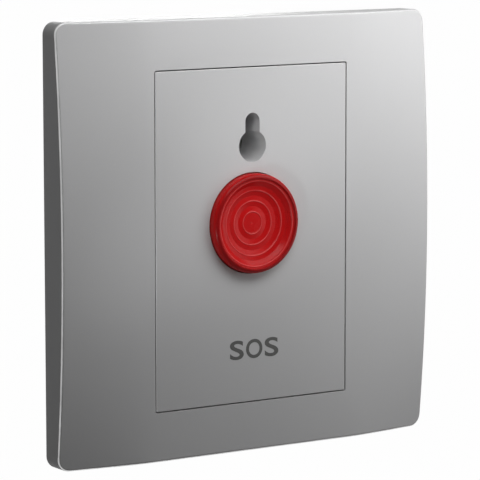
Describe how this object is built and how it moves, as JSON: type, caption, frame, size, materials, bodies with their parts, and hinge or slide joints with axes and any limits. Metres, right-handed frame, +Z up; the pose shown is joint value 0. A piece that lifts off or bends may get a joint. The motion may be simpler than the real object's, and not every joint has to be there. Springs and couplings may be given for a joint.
{
  "type": "panic button",
  "caption": "Square satin grey wall plate with arched frame, flush centre panel, dished red push button and a keyhole above it for resetting the latch.",
  "frame": {"origin": "on the wall plane, midway between the two fixing slots, which is also the middle of the plate", "axes": "+X to the right seen from the room, +Z up, -Y out of the wall towards the room, +Y into the wall box"},
  "size_m": [0.086, 0.033, 0.086],
  "materials": {
    "silver_plastic": "satin silver-grey paint",
    "carrier_plastic": "plain moulded",
    "housing_plastic": "plain moulded",
    "red_plastic": "satin red",
    "white_plastic": "plain moulded",
    "zinc_steel": "zinc plated",
    "spring_steel": "drawn wire",
    "brass": "stamped",
    "silver_tips": "silver contact"
  },
  "bodies": {
    "base": {"trim_frame": "silver_plastic", "centre_panel": "silver_plastic", "mounting_frame": "carrier_plastic", "rear_housing": "housing_plastic", "mechanism_deck": "housing_plastic", "latch_keeper": "housing_plastic", "latch_spring": "spring_steel", "button_spring": "spring_steel", "fixed_tips": "silver_tips", "terminal_clamps": "brass", "terminal_screws": "zinc_steel", "housing_screws": "zinc_steel", "deck_screws": "zinc_steel", "keeper_screws": "zinc_steel", "nc_contact_left": "brass", "nc_contact_right": "brass", "no_contact_left": "brass", "no_contact_right": "brass"},
    "button": {"button_cap": "red_plastic", "plunger": "white_plastic", "contact_bridge": "brass", "bridge_tips": "silver_tips", "bridge_clip": "zinc_steel", "bridge_spring": "spring_steel"},
    "latch": {"latch_slider": "zinc_steel"}
  },
  "joints": [
    {"name": "button_press", "type": "slide", "parent": "base", "child": "button", "axis": [0, 1, 0], "range_m": [0, 0.0024], "stiffness_N_per_m": 900, "deforming": ["button_spring"]},
    {"name": "latch_slide", "type": "slide", "parent": "base", "child": "latch", "axis": [1, 0, 0], "range_m": [0, 0.0012], "stiffness_N_per_m": 300, "deforming": ["latch_spring"]}
  ],
  "couplings": [
    {"joint": "latch_slide", "follows": "button_press", "ratio": 0.5}
  ]
}
